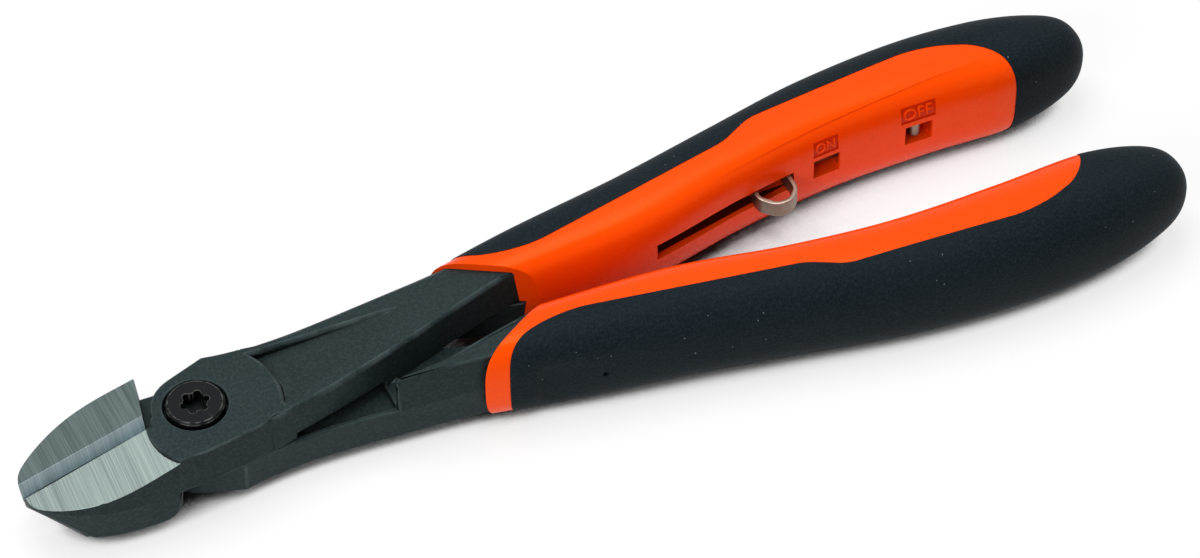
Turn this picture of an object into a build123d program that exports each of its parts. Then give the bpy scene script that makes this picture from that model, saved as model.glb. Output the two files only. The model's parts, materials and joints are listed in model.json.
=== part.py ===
from build123d import *
import math
import os

# Side cutter, all but closed, in millimetres. +X runs from the pivot to the handle ends and +Z along the pivot screw.
# The model is drawn about the head's middle plane and moved up at the end, so that z = 0 is the head's flat back.
# Outlines are given for the half whose jaw is at -Y and whose handle is at +Y.

# Head: two forged halves that lap at the pivot
HEAD_THICK = 13.6
LAP_GAP = 0.06
DRAFT_DEG = 5.0
TIP_X = -30.1
JAW_HALF_WIDTH = 10.6
JAW_WIDEST_X = -11.0
JAW_ROOT_X = -2.0
JAW_BACK_X = -8.3
JAW_BACK_RAKE = 2.0
# Places round the nose and the share of the jaw's half width there
JAW_NOSE = ((-21.6, 0.84), (-27.9, 0.49))
EDGE_GAP = 0.03
EDGE_STOCK = 1.0
REST_OPEN_DEG = 0.8
HUB_R = 7.8
HUB_CORNER = (4.4, 9.7)

# Arms between the hub and the handles
ARM_WAIST = (20.0, 8.6)
STEP_OUTER = (31.0, 9.4)
STEP_WIDTH = 1.6
ARM_NEAR_EDGE = ((50.5, 1.9), (43.8, -0.2), (32.0, -3.8), (12.5, -8.5))
ARM_STEP_EDGE = ((41.3, 7.0), (51.4, 4.4), (58.5, 3.0))
ARM_END = ((63.0, 13.4), (63.0, 4.6))
LAP_RELIEF_X = 14.0
LAP_RELIEF_DEPTH = 1.1
LAP_RELIEF_RIM = 1.2
POCKET_FRONT = ((12.0, 6.3), (13.9, 0.3), (12.7, -6.9))
POCKET_FAR_EDGE = ((22.0, 5.9), (34.0, 5.4))
POCKET_END_X = 43.0
POCKET_DEPTH = 1.5
POCKET_SPAN_Y = 13.4

# Blades: ridge line and cutting edge fall towards the tip
RIDGE_START_X = -8.4
RIDGE_FALL = 0.298
FACET_OUTWARD_FALL = 0.14
# Round at which the grinding of the near facet ends short of the hub
RUN_OUT_CENTRE = (0.9, -3.2)
RUN_OUT_R = 10.0
BEVEL_WIDTH = 1.4
BEVEL_DEPTH = 2.0
BEVEL_HUB_GAP = 0.1
FLANK_DEG = 10.0
NOSE_FACET_POINT = (-29.7, -1.5, -2.0)
NOSE_FACET_NORMAL = (-1.35, -0.95, -1.0)

# Pivot screw
SCREW_HEAD_R = 4.8
SCREW_HEAD_THICK = 3.0
SCREW_HEAD_PROUD = 0.7
SCREW_HEAD_CHAMFER = 0.35
SCREW_SHANK_R = 3.7
SCREW_THREAD_R = 3.2
SCREW_RUN_CLEARANCE = 0.05
COUNTERBORE_CLEARANCE = 0.5
SEAT_CLEARANCE = 0.04
SOCKET_R = 2.45
SOCKET_ROOT_R = 1.9
SOCKET_LOBE_R = 0.62
SOCKET_LOBES = 6
SOCKET_DEPTH = 2.2

# Handles: lofted along each tang and cut off at the front along the slanted collar line
COLLAR_OUTER = (46.6, 10.8)
COLLAR_INNER = (59.5, 3.2)
ARM_IN_COLLAR = 2.0
GRIP_START_X = 43.0
GRIP_END_X = 171.8
GRIP_THICK = 2.4
# Share of the loft's length, inner edge, outer edge and half thickness of the handle there
GRIP_SECTIONS = (
    (0.00, 2.2, 11.2, 8.1),
    (0.13, 2.1, 15.0, 8.5),
    (0.30, 3.4, 18.7, 8.8),
    (0.45, 7.3, 22.3, 9.1),
    (0.59, 9.5, 25.7, 9.4),
    (0.74, 9.6, 27.2, 9.6),
    (0.86, 8.9, 26.3, 9.3),
    (0.935, 9.7, 24.2, 8.2),
    (0.98, 11.8, 21.6, 6.0),
    (1.00, 13.8, 19.5, 3.4),
)
SECTION_POINTS = 20
INNER_FULLNESS = 3.6
OUTER_FULLNESS = 2.6
COLLAR_FULLNESS = 4.2
COLLAR_SHARE = 0.3

# Line in plan where the soft grip ends and the hard core shows
GRIP_LINE = (
    (48.2, 13.6),
    (51.5, 9.9),
    (59.6, 7.0),
    (101.2, 14.7),
    (107.4, 17.9),
    (141.5, 20.4),
    (152.6, 16.0),
    (155.6, 7.0),
)
GRIP_LINE_R = 3.6

# Tang of each forging inside its handle
TANG_THICK = 6.4
TANG_ROOT = ((50.0, 6.0), (47.0, 8.4))
TANG_NECK = ((60.0, 6.4), (60.0, 10.2))
TANG_BEND_X = 84.0
TANG_END_X = 118.0
TANG_RISE = 6.0
TANG_WIDTH = 2.4
TANG_WALL = 0.55

# Return spring: a flat strip bent to a loop, slid along the handle between its OFF and ON places
STRIP_THICK = 0.8
STRIP_WIDTH = 3.0
STRIP_LEG_Y = 12.6
STRIP_BEND_R = 1.5
LOOP_REAR_X = 110.9
LOOP_CORNERS = ((110.9, 6.2), (108.9, 4.1), (106.3, 4.1), (104.0, 6.6))
LOOP_FREE_END = (104.4, 9.6)
EYE_R = 1.1
EYE_BORE_R = 0.35
WINDOW_OFF_X = 136.5
SPRING_TRAVEL = 17.9
WINDOW_WIDTH = 5.2
WINDOW_HEIGHT = 4.1
CHANNEL_CLEARANCE = 0.25
CHANNEL_END_CLEARANCE = 3.0
SLOT_FRONT_CLEARANCE = 2.0
SLOT_REAR_CLEARANCE = 0.7

# Distances worked out from the sizes above
HALF = HEAD_THICK / 2
LAP = LAP_GAP / 2
FAR = 400.0
WINDOW_ON_X = WINDOW_OFF_X - SPRING_TRAVEL
EYE_Y = STRIP_LEG_Y + STRIP_THICK / 2 - EYE_R
CHANNEL_BACK_Y = STRIP_LEG_Y + STRIP_THICK / 2 + CHANNEL_CLEARANCE
CHANNEL_FRONT_Y = EYE_Y - EYE_R - CHANNEL_CLEARANCE
CHANNEL_HALF_HEIGHT = STRIP_WIDTH / 2 + CHANNEL_CLEARANCE
CHANNEL_END_X = WINDOW_OFF_X + EYE_R + CHANNEL_END_CLEARANCE
SLOT_FRONT_X = LOOP_CORNERS[-1][0] - SPRING_TRAVEL - STRIP_THICK / 2 - SLOT_FRONT_CLEARANCE
SLOT_REAR_X = LOOP_REAR_X + STRIP_THICK / 2 + SLOT_REAR_CLEARANCE
HEAD_SEAT_Z = HALF + SCREW_HEAD_PROUD - SCREW_HEAD_THICK


def beyond(point, normal):
    """Solid block that fills the side of a plane to which its normal points."""
    plane = Plane(origin=point, z_dir=normal)
    return plane * Box(FAR, FAR, FAR, align=(Align.CENTER, Align.CENTER, Align.MIN))


def block(x, y, z):
    """Box between two ends along each axis, each given as a pair."""
    middle = ((x[0] + x[1]) / 2, (y[0] + y[1]) / 2, (z[0] + z[1]) / 2)
    return Pos(*middle) * Box(x[1] - x[0], y[1] - y[0], z[1] - z[0])


def post(radius, low, high):
    """Cylinder about the pivot axis between two heights."""
    return Pos(0, 0, low) * Cylinder(radius, high - low, align=(Align.CENTER, Align.CENTER, Align.MIN))


def prism(outline, low, high, draft=0.0):
    """Closed outline in plan, made solid from one height to another and drawn in by the draft on the way."""
    solid = extrude(make_face(outline), amount=abs(high - low), taper=draft)
    if solid.bounding_box().center().Z * (high - low) < 0:
        solid = mirror(solid, about=Plane.XY)
    return Pos(0, 0, low) * solid


def flip(shape):
    """The same shape on the other half of the tool, turned half a turn about +X."""
    return shape.rotate(Axis.X, 180)


def mirrored(shape):
    """The same shape on the other side of the tool's middle, mirrored in Y."""
    return mirror(shape, about=Plane.XZ)


def opened(shape):
    """The same shape turned open about the pivot as far as the plain half stands at rest."""
    return shape.rotate(Axis.Z, -REST_OPEN_DEG)


def jaw_curves(start):
    """Outer line of the jaw from a point behind its widest place round to the edge stock at the tip."""
    widest = (JAW_WIDEST_X, -JAW_HALF_WIDTH)
    side = Line(start, widest)
    nose_points = [(x, -share * JAW_HALF_WIDTH) for x, share in JAW_NOSE]
    nose = Spline(widest, *nose_points, (TIP_X, 0), tangents=((-1, 0), (0, 1)))
    return [side, nose, Line((TIP_X, 0), (TIP_X, EDGE_STOCK))]


def arm_outer_curve():
    """Outer edge of the arm from the hub's corner into the handle."""
    return Spline(HUB_CORNER, ARM_WAIST, STEP_OUTER, COLLAR_OUTER, ARM_END[0], tangents=((1, -0.25), (1, 0.16)))


def upper_outline():
    """Plan of the level with the jaw, the round of the hub and the arm that laps over the other half."""
    corner_turn = math.degrees(math.atan2(HUB_CORNER[1], HUB_CORNER[0]))
    tangent_turn = corner_turn + math.degrees(math.acos(HUB_R / math.hypot(*HUB_CORNER)))
    start = Vector(-math.sqrt(HUB_R**2 - EDGE_STOCK**2), EDGE_STOCK)
    middle = Vector(HUB_R, 0).rotate(Axis.Z, (180 + tangent_turn) / 2)
    tangent = Vector(HUB_R, 0).rotate(Axis.Z, tangent_turn)
    hub = [Line((TIP_X, EDGE_STOCK), start), ThreePointArc(start, middle, tangent), Line(tangent, HUB_CORNER)]
    near = Spline(ARM_END[1], *ARM_NEAR_EDGE, (JAW_ROOT_X, -JAW_HALF_WIDTH))
    return Curve() + hub + [arm_outer_curve(), Line(*ARM_END), near] + jaw_curves(near @ 1)


def jaw_block_outline():
    """Plan of the jaw at the other half's level, with the back wall that clears the other hub."""
    outer = (JAW_BACK_X + JAW_BACK_RAKE, -JAW_HALF_WIDTH)
    inner = (JAW_BACK_X, EDGE_STOCK)
    return Curve() + [Line((TIP_X, EDGE_STOCK), inner), Line(inner, outer)] + jaw_curves(outer)


def arm_block_outline():
    """Plan of the arm at the other half's level, with stock ahead of its step wall."""
    step_inner = (STEP_OUTER[0], STEP_OUTER[1] - STEP_WIDTH)
    stock = ((ARM_WAIST[0], 0), (HUB_CORNER[0], 0), HUB_CORNER)
    return Curve() + [arm_outer_curve(), Polyline(*ARM_END, *reversed(ARM_STEP_EDGE), step_inner, *stock)]


def collar_plane(depth):
    """Point and normal of the plane at a depth behind the collar's slanted front."""
    along = Vector(COLLAR_INNER) - Vector(COLLAR_OUTER)
    normal = Vector(-along.Y, along.X).normalized()
    return Vector(COLLAR_OUTER) + normal * depth, normal


def tang():
    """Flat bar that runs on from the arm inside the handle, clear of the spring's channel."""
    bend_y = CHANNEL_BACK_Y + TANG_WALL
    end_y = bend_y + TANG_RISE
    inner = [TANG_ROOT[0], TANG_NECK[0], (TANG_BEND_X, bend_y), (TANG_END_X, end_y)]
    outer = [(TANG_END_X, end_y + TANG_WIDTH), (TANG_BEND_X, bend_y + TANG_WIDTH), TANG_NECK[1], TANG_ROOT[1]]
    return prism(Polyline(*inner, *outer, close=True), -TANG_THICK / 2, TANG_THICK / 2)


def lap_relief():
    """Shallow relief in the lap face between the hub and the step, inside a rim along the arm's outer edge."""
    waist = (ARM_WAIST[0], ARM_WAIST[1] - LAP_RELIEF_RIM)
    step = (STEP_OUTER[0], STEP_OUTER[1] - LAP_RELIEF_RIM)
    front = (LAP_RELIEF_X, waist[1])
    outline = Polyline((LAP_RELIEF_X, -FAR), front, waist, step, (STEP_OUTER[0], -FAR), close=True)
    return prism(outline, 0, LAP + LAP_RELIEF_DEPTH)


def arm_pocket():
    """Pocket in the arm's outer face, deepest in its far front corner and run out towards its near edge."""
    front = ThreePointArc(*POCKET_FRONT)
    near_y = POCKET_FRONT[0][1] - POCKET_SPAN_Y
    rest = Polyline(
        front @ 1,
        (POCKET_FRONT[2][0], near_y),
        (POCKET_END_X, near_y),
        (POCKET_END_X, POCKET_FAR_EDGE[1][1]),
        *reversed(POCKET_FAR_EDGE),
        front @ 0,
    )
    slope_x = POCKET_DEPTH / (POCKET_END_X - POCKET_FRONT[0][0])
    slope_y = POCKET_DEPTH / POCKET_SPAN_Y
    floor = beyond(POCKET_FRONT[0] + (HALF - POCKET_DEPTH,), (-slope_x, slope_y, 1))
    return prism(Curve() + [front, rest], 0, HEAD_THICK) & floor


def forging_blank():
    """One forged half before grinding and drilling."""
    upper = prism(upper_outline(), LAP, HALF, DRAFT_DEG)
    jaw = prism(jaw_block_outline(), LAP, -HALF, DRAFT_DEG)
    arm = prism(arm_block_outline(), LAP, -HALF, DRAFT_DEG) - beyond((STEP_OUTER[0], 0, 0), (-1, 0, 0))
    hub_front_x = -math.sqrt(HUB_R**2 - EDGE_STOCK**2)
    stock = block((TIP_X - EDGE_STOCK, hub_front_x), (-EDGE_GAP, 2 * EDGE_STOCK), (-HEAD_THICK, HEAD_THICK))
    blank = upper + jaw + arm - stock - beyond(*collar_plane(ARM_IN_COLLAR))
    return blank + tang() - lap_relief() - arm_pocket()


def grinding():
    """What is ground off the jaw: its facet, the bevel to the cutting edge, the flank under it and the nose."""
    ridge = (RIDGE_START_X, -BEVEL_WIDTH, HALF)
    edge = (RIDGE_START_X, -EDGE_GAP, HALF - BEVEL_DEPTH)
    bevel_run = BEVEL_WIDTH - EDGE_GAP
    flank_slope = math.tan(math.radians(FLANK_DEG))
    ahead_of_hub = beyond((-HUB_R - BEVEL_HUB_GAP, 0, 0), (-1, 0, 0))
    facet = beyond(ridge, (-RIDGE_FALL, -FACET_OUTWARD_FALL, 1))
    bevel = beyond(ridge, (-RIDGE_FALL * bevel_run, BEVEL_DEPTH, bevel_run)) & ahead_of_hub
    flank = beyond(edge, (flank_slope * RIDGE_FALL, 1, -flank_slope)) & ahead_of_hub
    nose = beyond(NOSE_FACET_POINT, NOSE_FACET_NORMAL)
    return [facet & block((-FAR, 0), (-FAR, FAR), (-FAR, FAR)), bevel, flank, nose]


def top_forging():
    """Half with the near jaw, bored to run on the screw's shank and counterbored for its head."""
    part = forging_blank()
    facet, *others = grinding()
    run_out = Pos(*RUN_OUT_CENTRE, 0) * Cylinder(RUN_OUT_R, 2 * HEAD_THICK)
    for cutter in (facet - run_out, *others):
        part = part - cutter
    part = part - post(SCREW_SHANK_R + SCREW_RUN_CLEARANCE, -HALF, HALF)
    return part - post(SCREW_HEAD_R + COUNTERBORE_CLEARANCE, HEAD_SEAT_Z - SEAT_CLEARANCE, HEAD_THICK)


def bottom_forging():
    """Half with the far jaw, tapped for the screw."""
    part = flip(forging_blank())
    for cutter in grinding():
        part = part - mirrored(cutter)
    return part - post(SCREW_THREAD_R, -HEAD_THICK, HEAD_THICK)


def pivot_screw():
    """Shouldered screw with a flat head and a six-lobe socket, its end flush with the head's back."""
    head = post(SCREW_HEAD_R, HEAD_SEAT_Z, HEAD_SEAT_Z + SCREW_HEAD_THICK)
    head = chamfer(head.edges().sort_by(Axis.Z)[-1], SCREW_HEAD_CHAMFER)
    socket = post(SOCKET_ROOT_R, 0, SOCKET_DEPTH)
    lobe = Cylinder(SOCKET_LOBE_R, SOCKET_DEPTH, align=(Align.CENTER, Align.CENTER, Align.MIN))
    for place in PolarLocations(SOCKET_R - SOCKET_LOBE_R, SOCKET_LOBES):
        socket = socket + place * lobe
    shank = post(SCREW_SHANK_R, -LAP, HEAD_SEAT_Z)
    thread = post(SCREW_THREAD_R, -HALF, -LAP)
    return head + shank + thread - Pos(0, 0, HALF + SCREW_HEAD_PROUD - SOCKET_DEPTH) * socket


def handle_section(share, x, inner, outer, half_thick):
    """Rounded section across the handle, boxy at the collar and rounder towards the hand's palm."""
    middle = (inner + outer) / 2
    reach = (outer - inner) / 2
    to_hand = min(share / COLLAR_SHARE, 1)
    palm_fullness = COLLAR_FULLNESS + (OUTER_FULLNESS - COLLAR_FULLNESS) * to_hand
    points = []
    for step in range(SECTION_POINTS):
        turn = 2 * math.pi * step / SECTION_POINTS
        across = math.cos(turn)
        up = math.sin(turn)
        fullness = palm_fullness if across > 0 else INNER_FULLNESS
        y = middle + reach * math.copysign(abs(across) ** (2 / fullness), across)
        z = half_thick * math.copysign(abs(up) ** (2 / fullness), up)
        points.append((x, y, z))
    return make_face(Spline(*points, periodic=True))


def handle_body(inset=0.0):
    """Handle lofted through its sections, drawn in by the inset on its outer side, top, bottom and end."""
    length = GRIP_END_X - GRIP_START_X - inset
    faces = []
    for share, inner, outer, half_thick in GRIP_SECTIONS:
        x = GRIP_START_X + share * length
        faces.append(handle_section(share, x, inner, outer - inset, half_thick - inset))
    return loft(faces)


def grip_region():
    """Everything in plan on the soft grip's side of its edge line."""
    front = (GRIP_LINE[0][0], FAR)
    rear = (GRIP_LINE[-1][0], -FAR)
    edge = FilletPolyline(front, *GRIP_LINE, rear, radius=GRIP_LINE_R)
    outline = Curve() + [edge, Polyline(rear, (FAR, -FAR), (FAR, FAR), front)]
    return prism(outline, -FAR / 2, FAR / 2)


def handle_pieces():
    """Hard core, still solid inside, and soft grip of the handle at +Y."""
    point, normal = collar_plane(0)
    whole = handle_body() - beyond(point, -normal)
    grip = (whole - handle_body(GRIP_THICK)) & grip_region()
    return whole - grip, grip


def spring_room():
    """Channel for the strip's leg, slot for its loop and the two windows over its eye."""
    height = (-CHANNEL_HALF_HEIGHT, CHANNEL_HALF_HEIGHT)
    room = [
        block((SLOT_FRONT_X, CHANNEL_END_X), (CHANNEL_FRONT_Y, CHANNEL_BACK_Y), height),
        block((SLOT_FRONT_X, SLOT_REAR_X), (0, CHANNEL_BACK_Y), height),
    ]
    for x in (WINDOW_ON_X, WINDOW_OFF_X):
        across = (x - WINDOW_WIDTH / 2, x + WINDOW_WIDTH / 2)
        room.append(block(across, (0, CHANNEL_BACK_Y), (-WINDOW_HEIGHT / 2, WINDOW_HEIGHT / 2)))
    return room


def return_spring():
    """Strip with its leg in the channel, its loop out of the slot and its rear end rolled to an eye."""
    path = FilletPolyline(
        (WINDOW_OFF_X, STRIP_LEG_Y),
        (LOOP_REAR_X, STRIP_LEG_Y),
        *LOOP_CORNERS,
        LOOP_FREE_END,
        radius=STRIP_BEND_R,
    )
    strip = extrude(trace(path, line_width=STRIP_THICK), amount=STRIP_WIDTH / 2, both=True)
    eye = Pos(WINDOW_OFF_X, EYE_Y, 0) * Cylinder(EYE_R, STRIP_WIDTH)
    bore = Pos(WINDOW_OFF_X, EYE_Y, 0) * Cylinder(EYE_BORE_R, STRIP_WIDTH)
    return strip + eye - bore


def build():
    """Every piece of the cutter by its name."""
    top = top_forging()
    bottom = bottom_forging()
    core, grip = handle_pieces()
    spring_core = core - top
    for cutter in spring_room():
        spring_core = spring_core - cutter
    return {
        "top_forging": top,
        "bottom_forging": opened(bottom),
        "pivot_screw": opened(pivot_screw()),
        "spring_handle_core": spring_core,
        "spring_handle_grip": grip - top,
        "plain_handle_core": opened(mirrored(core) - bottom),
        "plain_handle_grip": opened(mirrored(grip) - bottom),
        "return_spring": return_spring(),
    }


os.makedirs("parts", exist_ok=True)
for name, solid in build().items():
    placed = Pos(0, 0, HALF) * solid
    placed.label = name
    export_step(placed, f"parts/{name}.step")
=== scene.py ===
"""Looks of a 200 mm side cutter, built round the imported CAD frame."""

import json
import logging
import math
from collections.abc import Callable
from dataclasses import dataclass, field
from enum import Enum

import bmesh
import bpy
from mathutils import Matrix, Vector

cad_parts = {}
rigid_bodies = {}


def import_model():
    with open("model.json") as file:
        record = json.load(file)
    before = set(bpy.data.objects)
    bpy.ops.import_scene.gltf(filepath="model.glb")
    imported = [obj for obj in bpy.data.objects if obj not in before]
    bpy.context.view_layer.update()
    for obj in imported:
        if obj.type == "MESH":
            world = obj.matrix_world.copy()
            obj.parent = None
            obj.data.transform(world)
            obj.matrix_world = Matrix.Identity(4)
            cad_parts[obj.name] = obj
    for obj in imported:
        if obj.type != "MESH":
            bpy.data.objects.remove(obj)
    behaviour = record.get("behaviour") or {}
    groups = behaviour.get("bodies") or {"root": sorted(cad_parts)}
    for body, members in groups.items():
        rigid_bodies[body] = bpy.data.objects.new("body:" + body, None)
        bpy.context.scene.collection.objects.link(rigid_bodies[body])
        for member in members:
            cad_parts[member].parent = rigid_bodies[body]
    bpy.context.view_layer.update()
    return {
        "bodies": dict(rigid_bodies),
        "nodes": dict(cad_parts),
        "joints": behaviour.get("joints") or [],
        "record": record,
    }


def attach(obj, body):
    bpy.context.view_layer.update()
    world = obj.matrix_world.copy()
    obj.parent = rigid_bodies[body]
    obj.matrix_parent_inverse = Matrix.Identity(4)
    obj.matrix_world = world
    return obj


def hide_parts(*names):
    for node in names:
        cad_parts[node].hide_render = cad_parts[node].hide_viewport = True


LOG = logging.getLogger("side_cutter")
MM = 0.001
HEAD_HALF = 6.8
FLOOR_Z = -2.85

Point = tuple[float, float, float]
Colour = tuple[float, float, float]
Range = tuple[float, float]
# Waves per metre along each axis, and detail
Grain = tuple[float, float, float, float]


def mm(x: float, y: float, z: float) -> Vector:
    """Point given in millimetres about the head's middle plane, in the frame's metres."""
    return Vector((x, y, z + HEAD_HALF)) * MM


# Effects that several finishes share


def join_math(
    tree: bpy.types.NodeTree,
    operation: str,
    first: bpy.types.NodeSocket,
    second: bpy.types.NodeSocket,
    clamped: bool = False,
) -> bpy.types.NodeSocket:
    """Adds a node that works out one number from two.

    Args:
        tree: The node tree it is added to.
        operation: Blender's name of the operation.
        first: Socket of the first number.
        second: Socket of the second number.
        clamped: Whether the result stays between 0 and 1.

    Returns:
        The result's socket.
    """
    made = tree.nodes.new("ShaderNodeMath")
    made.operation = operation
    made.use_clamp = clamped
    tree.links.new(first, made.inputs[0])
    tree.links.new(second, made.inputs[1])
    return made.outputs[0]


class Effects:
    """Shader node groups that several finishes share."""

    # Noise between which an edge goes from coated to bare, with its painted highlight
    worn_and_highlit_patch: Range = (0.4, 0.62)

    def __init__(self) -> None:
        """Builds each group once."""
        self.noise = self._noise()
        self.specks = self._specks()
        self.wear_and_highlight = self._wear_and_highlight()

    @staticmethod
    def _tree(name: str, inputs: dict[str, float], output: str) -> bpy.types.NodeTree:
        """Makes an empty group with a vector input, number inputs and a number output.

        Args:
            name: Name of the group.
            inputs: Names and defaults of the number inputs.
            output: Name of the output.

        Returns:
            The group.
        """
        tree = bpy.data.node_groups.new(name, "ShaderNodeTree")
        tree.interface.new_socket("Coordinates", in_out="INPUT", socket_type="NodeSocketVector")
        for key, value in inputs.items():
            socket = tree.interface.new_socket(key, in_out="INPUT", socket_type="NodeSocketFloat")
            socket.default_value = value
        tree.interface.new_socket(output, in_out="OUTPUT", socket_type="NodeSocketFloat")
        tree.nodes.new("NodeGroupInput").name = "In"
        tree.nodes.new("NodeGroupOutput").name = "Out"
        return tree

    def _noise(self) -> bpy.types.NodeTree:
        """Noise over coordinates that are stretched by a number along each axis.

        Returns:
            The group, with output Value.
        """
        inputs = {"Along X": 1.0, "Along Y": 1.0, "Along Z": 1.0, "Detail": 2.0}
        tree = self._tree("stretched_noise", inputs, "Value")
        nodes, links = tree.nodes, tree.links
        given = nodes["In"].outputs
        stretch = nodes.new("ShaderNodeCombineXYZ")
        for axis in "XYZ":
            links.new(given[f"Along {axis}"], stretch.inputs[axis])
        scaled = nodes.new("ShaderNodeVectorMath")
        scaled.operation = "MULTIPLY"
        links.new(given["Coordinates"], scaled.inputs[0])
        links.new(stretch.outputs[0], scaled.inputs[1])
        noise = nodes.new("ShaderNodeTexNoise")
        noise.inputs["Scale"].default_value = 1.0
        links.new(scaled.outputs[0], noise.inputs["Vector"])
        links.new(given["Detail"], noise.inputs["Detail"])
        links.new(noise.outputs[0], nodes["Out"].inputs["Value"])
        return tree

    def _specks(self) -> bpy.types.NodeTree:
        """Sparse pale specks of dust: a mask that is 1 inside each speck.

        Returns:
            The group, with output Mask.
        """
        tree = self._tree("dust_specks", {"Per Metre": 260.0, "Size": 0.03, "Share": 0.2}, "Mask")
        nodes, links = tree.nodes, tree.links
        given = nodes["In"].outputs
        cells = nodes.new("ShaderNodeTexVoronoi")
        links.new(given["Coordinates"], cells.inputs["Vector"])
        links.new(given["Per Metre"], cells.inputs["Scale"])
        pick = nodes.new("ShaderNodeSeparateColor")
        links.new(cells.outputs["Color"], pick.inputs[0])
        near = join_math(tree, "LESS_THAN", cells.outputs["Distance"], given["Size"])
        chosen = join_math(tree, "LESS_THAN", pick.outputs[0], given["Share"])
        links.new(join_math(tree, "MULTIPLY", near, chosen), nodes["Out"].inputs["Mask"])
        return tree

    def _wear_and_highlight(self) -> bpy.types.NodeTree:
        """Worn edges, which also carry a painted highlight: the mesh's edge attribute, broken up by noise.

        Returns:
            The group, with output Mask.
        """
        tree = self._tree("edge_wear_and_highlight", {"Amount": 0.6, "Patch Scale": 300.0}, "Mask")
        nodes, links = tree.nodes, tree.links
        given = nodes["In"].outputs
        edge = nodes.new("ShaderNodeAttribute")
        edge.attribute_name = "worn_and_highlit_edge"
        noise = nodes.new("ShaderNodeTexNoise")
        links.new(given["Coordinates"], noise.inputs["Vector"])
        links.new(given["Patch Scale"], noise.inputs["Scale"])
        contrast = nodes.new("ShaderNodeMapRange")
        contrast.inputs["From Min"].default_value, contrast.inputs["From Max"].default_value = self.worn_and_highlit_patch
        links.new(noise.outputs[0], contrast.inputs["Value"])
        patch = join_math(tree, "MULTIPLY", contrast.outputs[0], given["Amount"])
        links.new(join_math(tree, "MULTIPLY", patch, edge.outputs["Fac"]), nodes["Out"].inputs["Mask"])
        return tree


# Finishes


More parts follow.
